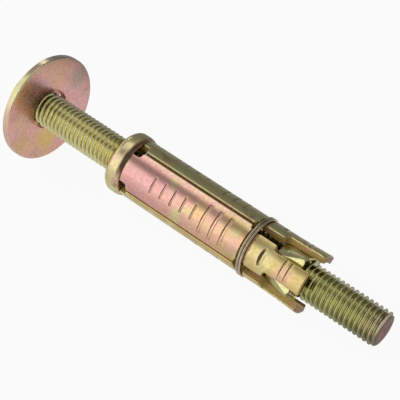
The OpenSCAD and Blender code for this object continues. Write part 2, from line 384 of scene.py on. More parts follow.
def bolt_finish(finish, name, shade=None):
    """Green yellow to olive film, with a painted mauve grey reflection behind, a mauve grey patch
    at the tip and painted shade in the roots.
    """
    stops = [(0.35, finish.lime), (0.8, finish.olive)]
    return zinc(finish, name, stops, -0.06, 6 * MM, along=(-10 * MM, 90 * MM, 0.6),
                shade=shade, behind=(2.5 * MM, 5.5 * MM, finish.dusk),
                spots=[(finish.dusk, (103, 0, 0), 9 * MM, 0.9)])


def tip_finish(finish):
    """Mauve to pink film on the cut end of the bolt."""
    stops = [(0.3, finish.mauve), (0.8, finish.pink)]
    return zinc(finish, "bolt_mauve_end", stops, 0.1, 5 * MM)


def washer_patches(finish):
    """Single patches of the washer's film, and one of painted reflection: colour, centre in mm,
    radius and strength.
    """
    return [
        (finish.amber, (-32.3, -3.7, -9.2), 5.5 * MM, 0.9),
        (finish.peach, (-34.0, -11.1, 2.7), 6.5 * MM, 0.9),
        (finish.gold, (-33.5, -14.6, -4.3), 4.5 * MM, 0.5),
        (finish.peach, (-34.3, 6.5, 14.5), 8 * MM, 0.9),
        (finish.sage, (-32.9, 13.4, 5.8), 5 * MM, 0.6),
        # Painted reflection: the violet grey patch stands for the bolt mirrored in the washer
        # beside it
        (finish.violet, (-34.3, -5.5, 8.5), 9 * MM, 0.75),
    ]


def front_patches(finish):
    """Single patches of the film at the front top: colour, centre in mm, radius, strength."""
    return [
        (finish.pink, (69.7, -7.9, 6.0), 4 * MM, 0.5),
        (finish.straw, (61.6, -6.4, 7.5), 5 * MM, 0.8),
        (finish.lime, (56.0, -7.4, 6.6), 2.6 * MM, 0.6),
        (finish.pink, (51.1, -8.5, 5.1), 3.5 * MM, 0.6),
        (finish.amber, (36.4, -6.1, 7.8), 3.5 * MM, 0.6),
    ]


def washer_finish(finish):
    """Rose to pink film with peach, gold and grey green patches, and a violet grey patch of
    painted reflection beside the bolt.
    """
    stops = [(0.0, finish.peach), (0.35, finish.rose), (0.7, finish.rose), (1.0, finish.pink)]
    tints = [(finish.peach, 9 * MM, 0.52, 0.72), (finish.sage, 8 * MM, 0.62, 0.84)]
    return zinc(finish, "washer_pink_zinc", stops, 0.06, 9 * MM, grain=0.15,
                offset=(20 * MM, 0, 0), tints=tints, spots=washer_patches(finish))


def rim_finish(finish):
    """Pale yellow to rose film on the washer's rim, with a green yellow patch at the top and a
    painted mauve grey reflection towards +Y.
    """
    stops = [(0.0, finish.straw), (0.4, finish.cream), (1.0, finish.rose)]
    return zinc(finish, "washer_cream_rim", stops, 0.04, 12 * MM,
                behind=(-3 * MM, 9 * MM, finish.dusk),
                spots=[(finish.lime, (-36, -8.5, 15.5), 9 * MM, 0.9)])


def ferrule_finish(finish):
    """Straw yellow film that turns brown at the lip, with a painted dark bronze reflection on the
    side towards +Y.
    """
    stops = [(0.2, finish.straw), (1.0, finish.brown)]
    return zinc(finish, "ferrule_gold_zinc", stops, 0.0, 4 * MM,
                # behind is a painted dark reflection in bronze on the side towards +Y
                along=(3.9 * MM, 5.0 * MM, 0.8), behind=(3.0 * MM, 8 * MM, finish.bronze),
                tints=[(finish.cream, 3 * MM, 0.5, 0.7), (finish.lime, 4 * MM, 0.56, 0.76)])


def segment_finish(finish, name, tones, tints, behind=None, spots=()):
    """Film that drifts along the segment through four tones."""
    stops = list(zip((0.2, 0.5, 0.75, 1.0), tones))
    return zinc(finish, name, stops, 0.0, 6 * MM, along=(8 * MM, 72 * MM, 0.8),
                tints=tints, behind=behind, spots=spots)


def cut_finish(finish):
    """Dull gold film on the cut edges of the segments."""
    stops = [(0.6, finish.gold), (1.0, finish.peach)]
    return zinc(finish, "segment_cut_edge", stops, 0.5, 5 * MM)


def recess_shade_finish(finish):
    """Brown painted shade on the walls of the pressed strokes and in the ring's groove."""
    stops = [(0.0, finish.brown), (1.0, finish.umber)]
    return zinc(finish, "segment_recess_painted_shade", stops, 0.12, 4 * MM)


def end_finish(finish):
    """Dark brown film on the sheared ends of the segments."""
    stops = [(0.0, finish.umber), (1.0, finish.brown)]
    return zinc(finish, "segment_sheared_end", stops, 0.12, 3 * MM)


def wire_finish(finish):
    """Pale drawn wire."""
    stops = [(0.0, finish.wire), (1.0, finish.bronze)]
    return zinc(finish, "ring_pale_wire", stops, -0.13, 3 * MM, grain=0.05)


def nut_finish(finish):
    """Straw film on the nut's flats, made bright as a painted highlight."""
    stops = [(0.0, finish.straw), (1.0, finish.lemon)]
    return zinc(finish, "nut_straw_zinc", stops, -0.08, 4 * MM)


def cone_finish(finish):
    """Olive film on the nut's turned cone, made dark as painted shade."""
    stops = [(0.0, finish.bronze), (1.0, finish.olive)]
    return zinc(finish, "nut_olive_cone", stops, 0.02, 3 * MM)


def placed(name, data):
    """A new object of the scene that holds that data."""
    item = bpy.data.objects.new(name, data)
    bpy.context.scene.collection.objects.link(item)
    return item


def smooth(mesh, sharp):
    """Smooth shading, with edges sharper than that many degrees left sharp."""
    mesh.shade_smooth()
    mesh.set_sharp_from_angle(angle=math.radians(sharp))
    mesh.update()


def face_outwards(mesh):
    """Turns the faces of a closed mesh outwards."""
    shape = bmesh.new()
    shape.from_mesh(mesh)
    bmesh.ops.recalc_face_normals(shape, faces=shape.faces)
    shape.to_mesh(mesh)
    shape.free()


def mesh_object(name, vertices, faces, materials, face_materials=None):
    """A piece from points in metres, with its faces pointing outwards."""
    mesh = bpy.data.meshes.new(name)
    mesh.from_pydata(np.asarray(vertices, float).tolist(), [], faces)
    for material in materials:
        mesh.materials.append(material)
    if face_materials is not None:
        mesh.polygons.foreach_set("material_index", face_materials)
    face_outwards(mesh)
    smooth(mesh, 40.0)
    return placed(name, mesh)


def seat(item, body, slot, *nodes):
    """Lets a piece ride on its body in place of its CAD nodes."""
    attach(item, body)
    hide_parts(*nodes)


def arc(centre, radius, start, end, steps):
    """Points of (radius, place along X) on an arc, with its angles in degrees."""
    angles = np.radians(np.linspace(start, end, steps + 1))
    return [(centre[0] + radius * math.cos(a), centre[1] + radius * math.sin(a)) for a in angles]


def round_points(x, radius, turn):
    """Points at those places along X, radii and turns about X, in radians from +Y."""
    x, radius, turn = np.broadcast_arrays(x, radius, turn)
    return np.stack([x, radius * np.cos(turn), radius * np.sin(turn)], axis=-1).reshape(-1, 3)


def revolve(profile, sides):
    """A closed profile of (radius, place along X) turned about X."""
    profile = np.array(profile, float)
    turns = np.arange(sides) * 2 * math.pi / sides
    points = round_points(profile[:, 1:], profile[:, :1], turns)
    return points, ring_faces(len(profile), sides, True)


def ring_faces(rows, columns, closed):
    """Faces between rings of points, with the last ring joined to the first if closed."""
    faces = []
    for i in range(rows if closed else rows - 1):
        below, above = i * columns, ((i + 1) % rows) * columns
        for j in range(columns):
            k = (j + 1) % columns
            faces.append((below + j, below + k, above + k, above + j))
    return faces


def new_tree(name, lengths, counts):
    """A geometry node tree with inputs of those names and one for the material.

    It gives the tree, the identifiers of the inputs by name, and their sockets in the tree.
    """
    tree = bpy.data.node_groups.new(name, "GeometryNodeTree")
    kinds = dict.fromkeys(lengths, "NodeSocketFloat") | dict.fromkeys(counts, "NodeSocketInt")
    kinds["Material"] = "NodeSocketMaterial"
    identifiers = {}
    for key, kind in kinds.items():
        socket = tree.interface.new_socket(name=key, in_out="INPUT", socket_type=kind)
        identifiers[key] = socket.identifier
    tree.interface.new_socket(name="Geometry", in_out="OUTPUT", socket_type="NodeSocketGeometry")
    return tree, identifiers, tree.nodes.new("NodeGroupInput").outputs


def end_tree(tree, geometry, material):
    """Ends a tree with real geometry in its material."""
    real = add(tree, "GeometryNodeRealizeInstances", {"Geometry": geometry})
    dressed = add(tree, "GeometryNodeSetMaterial",
                  {"Geometry": real.outputs[0], "Material": material})
    add(tree, "NodeGroupOutput", {"Geometry": dressed.outputs[0]})


def round_point(tree, x, radius, turns):
    """The point at that place along X, radius and number of turns about X."""
    spin = maths(tree, "MULTIPLY", turns, 2 * math.pi)
    parts = {0: x, 1: maths(tree, "MULTIPLY", radius, maths(tree, "COSINE", spin)),
             2: maths(tree, "MULTIPLY", radius, maths(tree, "SINE", spin))}
    return add(tree, "ShaderNodeCombineXYZ", parts).outputs[0]


def made_by(tree, identifiers, values, name, material):
    """An object with the plain mesh that a tree makes with those values of its inputs."""
    item = placed(name, bpy.data.meshes.new(name + "_start"))
    modifier = item.modifiers.new("shape", "NODES")
    modifier.node_group = tree
    for key, value in values.items():
        modifier[identifiers[key]] = value
    modifier[identifiers["Material"]] = material
    bpy.context.view_layer.update()
    seen = item.evaluated_get(bpy.context.evaluated_depsgraph_get())
    mesh = bpy.data.meshes.new_from_object(seen)
    mesh.name = name
    item.modifiers.remove(modifier)
    mesh.materials.clear()
    mesh.materials.append(material)
    mesh.polygons.foreach_set("material_index", [0] * len(mesh.polygons))
    item.data = mesh
    return item


# Shares of half a pitch where the root ends and the crest starts
THREAD_ROOT, THREAD_CREST = 0.16, 0.86
# How steeply the root deepens from both ends
THREAD_RUNOUT = 0.8
# Keeps rounding from turning the phase of a row over
SEAM_NUDGE = 0.0005


def thread_tree():
    """A helical thread about X: a sheared grid whose rows follow the helix."""
    lengths = ("Start", "Length", "Major Radius", "Pitch", "Depth", "Chamfer")
    tree, identifiers, given = new_tree("helical_thread", lengths, ("Steps", "Sides"))
    calc = partial(maths, tree)
    pitch, whole, major = given["Pitch"], given["Length"], given["Major Radius"]
    step = calc("DIVIDE", pitch, given["Steps"])
    rows = calc("CEIL", calc("DIVIDE", calc("ADD", whole, pitch), step))
    size = calc("MULTIPLY", rows, step)
    grid = add(tree, "GeometryNodeMeshGrid",
               {"Size X": 1.0, "Size Y": size, "Vertices X": calc("ADD", given["Sides"], 1.0),
                "Vertices Y": calc("ADD", rows, 1.0)})
    place = separate(tree, tree.nodes.new("GeometryNodeInputPosition").outputs[0])
    turn = calc("ADD", place[0], 0.5)
    lead = calc("SUBTRACT", calc("MULTIPLY_ADD", size, 0.5, place[1]), pitch)
    raw = calc("MULTIPLY_ADD", turn, pitch, lead)
    along = calc("MAXIMUM", calc("MINIMUM", raw, whole), 0.0)
    count = calc("DIVIDE", calc("ADD", lead, pitch), pitch)
    phase = calc("FRACT", calc("ADD", count, SEAM_NUDGE))
    height = calc("ABSOLUTE", calc("MULTIPLY_ADD", phase, 2.0, -1.0))
    form = spread(tree, height, THREAD_ROOT, THREAD_CREST)
    drop = calc("MULTIPLY", calc("SUBTRACT", 1.0, form), given["Depth"])
    ends = calc("MINIMUM", along, calc("SUBTRACT", whole, along))
    end_radius = calc("SUBTRACT", major, given["Chamfer"])
    radius = calc("MINIMUM", calc("SUBTRACT", major, drop), calc("ADD", end_radius, ends))
    least = calc("SUBTRACT", end_radius, calc("MULTIPLY", ends, THREAD_RUNOUT))
    radius = calc("MAXIMUM", radius, least)
    point = round_point(tree, calc("ADD", along, given["Start"]), radius, turn)
    bent = add(tree, "GeometryNodeSetPosition", {"Geometry": grid.outputs[0], "Position": point})
    closed = add(tree, "GeometryNodeMergeByDistance",
                 {"Geometry": bent.outputs[0], "Distance": 0.002 * MM})
    end_tree(tree, closed.outputs[0], given["Material"])
    return tree, identifiers


def grow(shape, edges, place):
    """Extrudes an open ring of edges and puts its points at place(angle) = (radius, X)."""
    made = bmesh.ops.extrude_edge_only(shape, edges=edges)["geom"]
    for vertex in (part for part in made if isinstance(part, bmesh.types.BMVert)):
        at = math.atan2(vertex.co.z, vertex.co.y)
        radius, x = place(at)
        vertex.co = (x, radius * math.cos(at), radius * math.sin(at))
    return [part for part in made if isinstance(part, bmesh.types.BMEdge)]


def hexagon(flats, at):
    """Distance from the axis to a hexagon's side, with a corner at angle 0."""
    sixth = math.pi / 3
    return flats / 2 / math.cos((at % sixth) - sixth / 2)


# The order of the bolt's materials
SHANK_FILM, END_FILM, HEAD_FILM = 0, 1, 2
# Rings of the dome and the reach of the cut end's film, as shares of the tip's radius
DOME_RINGS = (0.97, 0.9, 0.8, 0.6, 0.35, 0.12)
CUT_END = 0.81


def add_dome(shape, edges, sizes, tip_x):
    """Closes the tip with a shallow dome, whose middle has the film of the cut end."""
    tip_radius = sizes.major - sizes.chamfer
    before = set(shape.faces)
    for part in DOME_RINGS:
        rise = sizes.dome * (1 - part ** 3)
        edges = grow(shape, edges, lambda at: (tip_radius * part, tip_x + rise))
    bmesh.ops.holes_fill(shape, edges=edges)
    for face in set(shape.faces) - before:
        reach = max(math.hypot(vertex.co.y, vertex.co.z) for vertex in face.verts)
        face.material_index = END_FILM if reach < CUT_END * tip_radius else SHANK_FILM


def add_head(shape, edges, sizes):
    """Closes the shank's other end with the bearing face and the chamfered hexagon head."""
    head_top = BOLT_LOW.x
    under = head_top + sizes.head
    bearing_x = under - sizes.bearing_height
    bevel, crown_edge, crown_middle = 0.2 * MM, 0.12 * MM, 0.6 * sizes.crown
    slope = math.tan(math.radians(30))

    def side(at):
        """Distance from the axis to the head's side."""
        return hexagon(sizes.flats, at)

    before = set(shape.faces)
    for place in (
        lambda at: (sizes.bearing, under),
        lambda at: (sizes.bearing, bearing_x),
        lambda at: (side(at) - bevel, bearing_x),
        lambda at: (side(at), bearing_x - bevel),
        lambda at: (side(at), head_top + (side(at) - sizes.crown) * slope),
        lambda at: (sizes.crown, head_top),
        lambda at: (sizes.crown - crown_edge, head_top),
        lambda at: (crown_middle, head_top),
    ):
        edges = grow(shape, edges, place)
    bmesh.ops.holes_fill(shape, edges=edges)
    for face in set(shape.faces) - before:
        face.material_index = HEAD_FILM


def build_bolt(sizes, finish):
    """The threaded shank, its tip and the hexagon head."""
    under = BOLT_LOW.x + sizes.head
    tip_x = BOLT_HIGH.x - sizes.dome
    # root_shade is painted shade in the thread's roots
    root_radius, flank_radius, root_shade = 5.15 * MM, 5.5 * MM, (0.62, 0.58, 0.48)
    material = bolt_finish(finish, "bolt_olive_zinc", (root_radius, flank_radius, root_shade))
    values = {
        "Start": under, "Length": tip_x - under, "Major Radius": sizes.major,
        "Pitch": sizes.pitch, "Depth": sizes.depth, "Chamfer": sizes.chamfer,
        "Steps": sizes.steps, "Sides": sizes.sides,
    }
    item = made_by(*thread_tree(), values, "threaded_bolt", material)
    mesh = item.data
    mesh.materials.append(tip_finish(finish))
    mesh.materials.append(bolt_finish(finish, "bolt_olive_head"))
    shape = bmesh.new()
    shape.from_mesh(mesh)
    bmesh.ops.dissolve_degenerate(shape, edges=shape.edges, dist=0.001 * MM)
    open_edges = [edge for edge in shape.edges if edge.is_boundary]
    middle = (BOLT_LOW.x + BOLT_HIGH.x) / 2
    tip = [edge for edge in open_edges if edge.verts[0].co.x > middle]
    head = [edge for edge in open_edges if edge.verts[0].co.x < middle]
    add_dome(shape, tip, sizes, tip_x)
    add_head(shape, head, sizes)
    bmesh.ops.recalc_face_normals(shape, faces=shape.faces)
    shape.to_mesh(mesh)
    shape.free()
    smooth(mesh, 50.0)
    seat(item, "bolt", "bolt_zinc", "bolt")


def build_washer(sizes, finish):
    """The leaning washer, with its rim rounded over."""
    sides = 128
    r, hole, t, e = sizes.radius, sizes.hole, sizes.thickness, sizes.edge
    bevel = 0.15 * MM
    profile = [(hole, -t + bevel), (hole + bevel, -t)]
    profile += [(hole + part * (r - hole), -t) for part in (0.3, 0.7)]
    rim_from = len(profile)
    profile += arc((r - e, -t + e), e, -90, 0, 6) + arc((r - e, -e), e, 0, 90, 6)
    rim_to = len(profile) - 1
    profile += [(hole + part * (r - hole), 0.0) for part in (0.7, 0.3)]
    profile += [(hole + 2 * bevel, 0.0), (hole + bevel, -0.3 * bevel), (hole, -2 * bevel)]
    vertices, faces = revolve(profile, sides)
    low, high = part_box("washer")
    turn = Matrix.Rotation(-sizes.turn, 3, "Z") @ Matrix.Rotation(-sizes.lean, 3, "Y")
    centre = (low + high) / 2 + turn @ Vector((t / 2, 0, 0))
    vertices = vertices @ np.array(turn).T + np.array(centre)
    kinds = [int(rim_from <= i // sides < rim_to) for i in range(len(faces))]
    item = mesh_object("plain_washer", vertices, faces,
                       [washer_finish(finish), rim_finish(finish)], kinds)
    seat(item, "washer", "washer_zinc", "washer")


def build_ferrule(sizes, finish):
    """The drawn cup with its lip closed on the segments."""
    outer, end = FERRULE_HIGH.z, FERRULE_HIGH.x
    swell_x = end - sizes.swell
    drop = outer - sizes.lip
    swell_radius = (sizes.swell ** 2 + drop ** 2) / (2 * drop)
    swell_angle = math.degrees(math.asin(sizes.swell / swell_radius))
    cavity, throat = outer - sizes.wall, sizes.lip - sizes.wall
    throat_x = end - sizes.throat
    c = sizes.corner
    bevel = 0.18 * MM
    profile = [(sizes.hole, bevel), (sizes.hole + bevel, 0.0)]
    profile += arc((outer - c, c), c, -90, 0, 10)
    swell_part = 0.93
    profile += arc((outer - swell_radius, swell_x), swell_radius, 0, swell_angle * swell_part, 8)
    profile += arc((sizes.lip - bevel, end - bevel), bevel, 20, 90, 4)
    profile += [(throat + bevel, end), (throat, end - bevel),
                (throat, throat_x + cavity - throat), (cavity, throat_x),
                (cavity, sizes.face + bevel), (cavity - bevel, sizes.face),
                (sizes.hole, sizes.face)]
    vertices, faces = revolve(profile, 144)
    dented_from, dented_radius, dents_per_metre = 0.5 * MM, cavity + 0.2 * MM, 350.0
    for vertex in vertices:
        radius = math.hypot(vertex[1], vertex[2])
        if radius > dented_radius and vertex[0] > dented_from:
            dent = noise.noise(Vector(vertex * dents_per_metre)) * sizes.dents
            vertex[1:] *= 1.0 + (dent - sizes.dents) / radius
    item = mesh_object("drawn_ferrule", vertices, faces, [ferrule_finish(finish)])
    seat(item, "shield", "ferrule_zinc", "ferrule")


def rounded(corners, step):
    """A line through corners of (x, y, radius), with each corner rounded, and arc ends marked.

    It gives the points, and for each corner the indexes of its arc's first and last point.
    """
    points, marks = [], []
    for i, (x, y, radius) in enumerate(corners):
        here = np.array([x, y])
        if i in (0, len(corners) - 1) or radius == 0:
            points.append(here)
            marks.append((len(points) - 1, len(points) - 1))
            continue
        back = np.array(corners[i - 1][:2]) - here
        ahead = np.array(corners[i + 1][:2]) - here
        back, ahead = back / np.linalg.norm(back), ahead / np.linalg.norm(ahead)
        half = math.acos(np.clip(back @ ahead, -1, 1)) / 2
        centre = here + (back + ahead) / np.linalg.norm(back + ahead) * radius / math.sin(half)
        first = here + back * radius / math.tan(half) - centre
        last = here + ahead * radius / math.tan(half) - centre
        start = len(points)
        for t in np.linspace(0, 1, 9):
            way = first * (1 - t) + last * t
            points.append(centre + way / np.linalg.norm(way) * radius)
        marks.append((start, len(points) - 1))
    filled, places = [points[0]], [0]
    for previous, here in zip(points, points[1:]):
        count = max(1, round(float(np.linalg.norm(here - previous)) / step))
        for k in range(1, count + 1):
            filled.append(previous + (here - previous) * k / count)
        places.append(len(filled) - 1)
    return np.array(filled), [(places[a], places[b]) for a, b in marks]


def segment_grid(sizes):
    """The half outline of a segment, and where each of its rows crosses the middle."""
    r = sizes.radius
    hook, end = SEGMENT_LOW.x, SEGMENT_HIGH.x
    slot = r * math.radians(45) - sizes.slot / 2
    neck, pad, tip = r * sizes.neck, r * sizes.pad, r * sizes.end
    tip_end = r * (sizes.end + sizes.widen)
    widen_length, row_step, bend = 2 * MM, 0.2 * MM, 1.7 * MM
    c = sizes.corner
    soft, tight = 1.2 * c, 0.9 * c
    corners = [
        (hook, neck, 0), (sizes.body_from, neck, soft), (sizes.body_from, slot, c),
        (sizes.body_to, slot, tight), (sizes.body_to, pad, tight),
        (sizes.pad_to, pad, c), (sizes.pad_to, tip, soft),
        (end - widen_length, tip, 0), (end, tip_end, c), (end, 0.0, 0),
    ]
    line, marks = rounded(corners, row_step)
    tail, last = marks[8]
    line = line[:last + 1]
    run = np.concatenate([[0], np.cumsum(np.linalg.norm(np.diff(line, axis=0), axis=1))])
    anchors = [(0.0, hook)]
    for first, second, lead in ((1, 2, 1), (3, 4, -1), (5, 6, -1)):
        a, b = marks[first][0], marks[second][1]
        anchors.append((run[a], line[a][0] + (bend * lead if lead < 0 else 0.0)))
        anchors.append((run[b], line[b][0] + (bend * lead if lead > 0 else 0.0)))
    anchors += [(run[tail], line[tail][0]), (run[-1], end)]
    places, middles = zip(*anchors)
    centre = np.interp(run, places, middles)
    centre[tail:] = line[tail:, 0]
    return line, centre


def edge_distance(x, y, line, window=24):
    """Distance of each grid point from the outline, looked for near its own row."""
    rows = len(line)
    best = np.full(x.shape, 1.0)
    for shift in range(-window, window):
        index = np.clip(np.arange(rows) + shift, 0, rows - 2)
        a, b = line[index][:, None, :], line[index + 1][:, None, :]
        way = b - a
        size = np.maximum((way ** 2).sum(2), 1e-18)
        px, py = x - a[..., 0], y - a[..., 1]
        t = np.clip((px * way[..., 0] + py * way[..., 1]) / size, 0, 1)
        best = np.minimum(best, np.hypot(px - t * way[..., 0], py - t * way[..., 1]))
    return np.minimum(best, SEGMENT_HIGH.x - x)


def band(value, half, soft):
    """1 inside a band of that half width, 0 outside, with soft walls."""
    t = np.clip((half + soft / 2 - np.abs(value)) / soft, 0, 1)
    return t * t * (3 - 2 * t)


def pressed(x, turn, sizes):
    """Depth of what is pressed into a segment's outer face."""
    degrees = np.degrees(turn)
    spacing, soft_end = 4.1 * MM, 2.0
    last = sizes.body_to - 6.3 * MM
    end_at, end_gap = sizes.pad_to + 6.5 * MM, 2.1 * MM
    long, short, fine = (0.5 * MM, 28.6), (0.25 * MM, 16.0), (0.45 * MM, 21.0)
    steep, soft = 0.22 * MM, 0.45 * MM
    strokes = [(last - i * spacing, *long, steep) for i in range(3)]
    strokes += [(last - (3 + i) * spacing, *short, soft) for i in range(5)]
    strokes += [(end_at + side * end_gap, *fine, steep) for side in (-0.5, 0.5)]
    depth = np.zeros_like(x)
    for at, half, reach, wall in strokes:
        inside = band(x - at, half, wall) * band(degrees, reach, soft_end)
        depth = np.maximum(depth, inside * sizes.bar_depth)
    pad_at = sizes.pad_from + sizes.pad_bar_at
    lens_half, lens_reach, least = 1.05 * MM, 18.0, 0.0025
    lens = lens_half * np.sqrt(np.maximum(1 - (degrees / lens_reach) ** 2, least))
    inside = np.clip(1 - np.abs(x - pad_at) / lens, 0, 1) * band(degrees, 17.5, 1.0)
    return np.maximum(depth, inside * sizes.pad_bar_depth)


# The order of a segment's materials
OUTER_FILM, CUT_FILM, PAINTED_RECESS_SHADE, SHEARED_FILM = 0, 1, 2, 3


def segment_faces(rows, outer, inner, dark):
    """Faces of a segment whose rows are loops of outer and inner points, with their films.

    dark says for each face of the outer side whether it gets painted shade, as a pressed wall or
    in the ring's groove.
    """
    columns = outer + inner
    faces = ring_faces(rows, columns, False)
    kinds = np.full((rows - 1, columns), OUTER_FILM)
    kinds[:, :outer - 1][dark] = PAINTED_RECESS_SHADE
    kinds[:, [outer - 1, columns - 1]] = CUT_FILM
    for row in (0, rows - 1):
        faces.append(tuple(range(row * columns, (row + 1) * columns)))
    return faces, [*kinds.ravel().tolist(), SHEARED_FILM, SHEARED_FILM]


def segment_inside(x, sizes):
    """Inner radius of a segment, with the thick pad and its lead-in for the nut."""
    pad, bore = 7.1 * MM, sizes.radius - sizes.wall
    thick_from, nut_x = sizes.pad_from + 1.0 * MM, sizes.pad_to - 0.3 * MM
    lead_to = nut_x + (bore - pad) / math.tan(math.radians(13.8))
    places = [thick_from, thick_from + bore - pad, nut_x, lead_to, lead_to + 2 * MM,
              SEGMENT_HIGH.x]
    return np.interp(x, places, [bore, pad, pad, bore, bore, bore + sizes.flare])


def segment_shape(sizes):
    """One segment about angle 0: its points as (x, radius, turn), and its faces."""
    r = sizes.radius
    line, middle = segment_grid(sizes)
    width = line[:, 1][:, None]

    def row_bend(y):
        """X of points that far from the middle, on rows that bend to meet the outline."""
        return middle[:, None] + (line[:, 0][:, None] - middle[:, None]) * (np.abs(y) / width) ** 3

    # Columns stand close together near the edge, which is rounded over
    near = np.array([0.0, 0.03, 0.07, 0.12, 0.18, 0.26, 0.4]) * MM
    columns, inner_columns = 96, 14
    fill = np.linspace(-1, 1, columns)[1:-1] * (width - near[-1])
    y = np.concatenate([-width + near, fill, (width - near)[:, ::-1]], axis=1)
    x = row_bend(y)
    turn = y / r
    distance = edge_distance(x, np.abs(y), line)
    e = sizes.edge
    drop = np.where(distance < e, e - np.sqrt(np.maximum(e * e - (e - distance) ** 2, 0)), 0)
    strokes = pressed(x, turn, sizes)
    groove_end = sizes.pad_from
    groove_start = groove_end - sizes.groove_length
    groove_middle, groove_wall = (groove_start + groove_end) / 2, 0.12 * MM
    flare_from = sizes.pad_to + 2 * MM
    outer = r + sizes.flare * np.clip((x - flare_from) / (SEGMENT_HIGH.x - flare_from), 0, 1)
    outer -= sizes.groove * band(x - groove_middle, sizes.groove_length / 2, groove_wall)
    hook_radius, hook_to, waist_radius, waist_to = 9.45 * MM, 3.95 * MM, 8.7 * MM, 6.15 * MM
    outer = np.where(x < waist_to, waist_radius, outer)
    outer = np.where(x < hook_to, hook_radius, outer)
    outer -= np.where(x > waist_to + 0.15 * MM, drop + strokes, 0)
    corners = np.stack([strokes[:-1, :-1], strokes[1:, :-1], strokes[:-1, 1:], strokes[1:, 1:]])
    # Painted shade goes on the walls of the pressed strokes, but not round the pad bar or past the
    # pad, and in the ring's groove
    least_step, groove_edge = sizes.bar_depth * 0.3, 0.1 * MM
    wall = corners.max(0) - corners.min(0) > least_step
    along = (x[:-1, :-1] + x[1:, 1:]) / 2
    pad_bar = sizes.pad_from + sizes.pad_bar_at
    bright_from, bright_to = pad_bar - 0.4 * MM, pad_bar + 0.8 * MM
    wall &= (along < bright_from) | ((along > bright_to) & (along < sizes.pad_to))
    dark = wall | ((along > groove_start) & (along < groove_end + groove_edge))
    inner_y = np.linspace(1, -1, inner_columns)[None, :] * width
    inner_x = row_bend(inner_y)
    inner = segment_inside(inner_x, sizes)
    points = np.concatenate([np.stack([x, outer, turn], 2),
                             np.stack([inner_x, inner, inner_y / r], 2)], axis=1)
    faces, kinds = segment_faces(len(line), x.shape[1], inner_y.shape[1], dark)
    return points.reshape(-1, 3), faces, kinds


def build_segments(sizes, finish):
    """The four pressed segments of the shield."""
    points, faces, kinds = segment_shape(sizes)
    # wall is the painted shade of the pressed walls and the ring's groove
    cut, wall, end = cut_finish(finish), recess_shade_finish(finish), end_finish(finish)
    tints = [(finish.straw, 7 * MM, 0.56, 0.72), (finish.mauve, 6 * MM, 0.64, 0.9)]
    far_tints = [(finish.olive, 5 * MM, 0.50, 0.66), (finish.brown, 6 * MM, 0.58, 0.76)]
    # Painted highlight: the front top segment turns cream towards its upper slot
    slot_highlight_band = (-2.4 * MM, -0.8 * MM, finish.cream)
    # far is a painted mauve grey reflection on the back top segment's side towards +Y
    far = (5.5 * MM, 8.5 * MM, finish.dusk)
    pink, peach, gold, straw = finish.pink, finish.peach, finish.gold, finish.straw
    khaki, bronze = finish.khaki, finish.bronze
    films = {
        "segment_front_top": ((pink, peach, gold, gold), tints, slot_highlight_band, front_patches(finish)),
        "segment_back_top": ((khaki, khaki, khaki, gold), far_tints, far),
        "segment_front_bottom": ((gold, gold, gold, bronze), tints),
        "segment_back_bottom": ((straw, gold, peach, gold), tints),
    }
    for name, degrees in SEGMENTS.items():
        vertices = round_points(points[:, 0], points[:, 1],
                                points[:, 2] + math.radians(degrees))
        film = segment_finish(finish, name + "_zinc", *films[name])
        item = mesh_object("pressed_" + name, vertices, faces, [film, cut, wall, end], kinds)
        seat(item, name, "shield_zinc", name)


def coil_tree():
    """Two stretches of a coil about X, each from one turn to another, as round wire."""
    lengths = ("Start", "Coil Radius", "Wire Radius", "Pitch", "From", "To")
    tree, identifiers, given = new_tree("wire_coil", lengths, ("Sides",))
    calc = partial(maths, tree)
    joined = tree.nodes.new("GeometryNodeJoinGeometry")
    for turn in (0.0, 1.0):
        line = add(tree, "GeometryNodeCurvePrimitiveLine", {"Start": (0, 0, 0), "End": (1, 0, 0)})
        dense = add(tree, "GeometryNodeResampleCurve", {"Curve": line.outputs[0], "Count": 13})
        way = separate(tree, tree.nodes.new("GeometryNodeInputPosition").outputs[0])[0]
        span = calc("SUBTRACT", given["To"], given["From"])
        at = calc("ADD", calc("MULTIPLY_ADD", way, span, given["From"]), turn)
        x = calc("MULTIPLY_ADD", at, given["Pitch"], given["Start"])
        point = round_point(tree, x, given["Coil Radius"], at)
        bent = add(tree, "GeometryNodeSetPosition",
                   {"Geometry": dense.outputs[0], "Position": point})
        tree.links.new(bent.outputs[0], joined.inputs[0])
    section = add(tree, "GeometryNodeCurvePrimitiveCircle",
                  {"Resolution": given["Sides"], "Radius": given["Wire Radius"]})
    wire = add(tree, "GeometryNodeCurveToMesh",
               {"Curve": joined.outputs[0], "Profile Curve": section.outputs[0],
                "Fill Caps": True})
    end_tree(tree, wire.outputs[0], given["Material"])
    return tree, identifiers


def build_ring(sizes, finish):
    """The wire ring in eight stretches."""
    tree, identifiers = coil_tree()
    material = wire_finish(finish)
    coil = RING_HIGH.z - sizes.wire
    start = RING_LOW.x + sizes.wire
    for eighth in range(8):
        values = {
            "Start": start, "Coil Radius": coil, "Wire Radius": sizes.wire,
            "Pitch": sizes.pitch, "From": eighth / 8, "To": (eighth + 1) / 8,
            "Sides": sizes.sides,
        }
        item = made_by(tree, identifiers, values, f"ring_wire_{eighth + 1}", material)
        face_outwards(item.data)
        smooth(item.data, 60.0)
        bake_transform(item)
        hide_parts("wire_ring")


def soft_least(a, b, soft):
    """The smaller of two values, rounded over where they cross."""
    h = np.clip(0.5 + 0.5 * (b - a) / soft, 0, 1)
    return b * (1 - h) + a * h - soft * h * (1 - h)


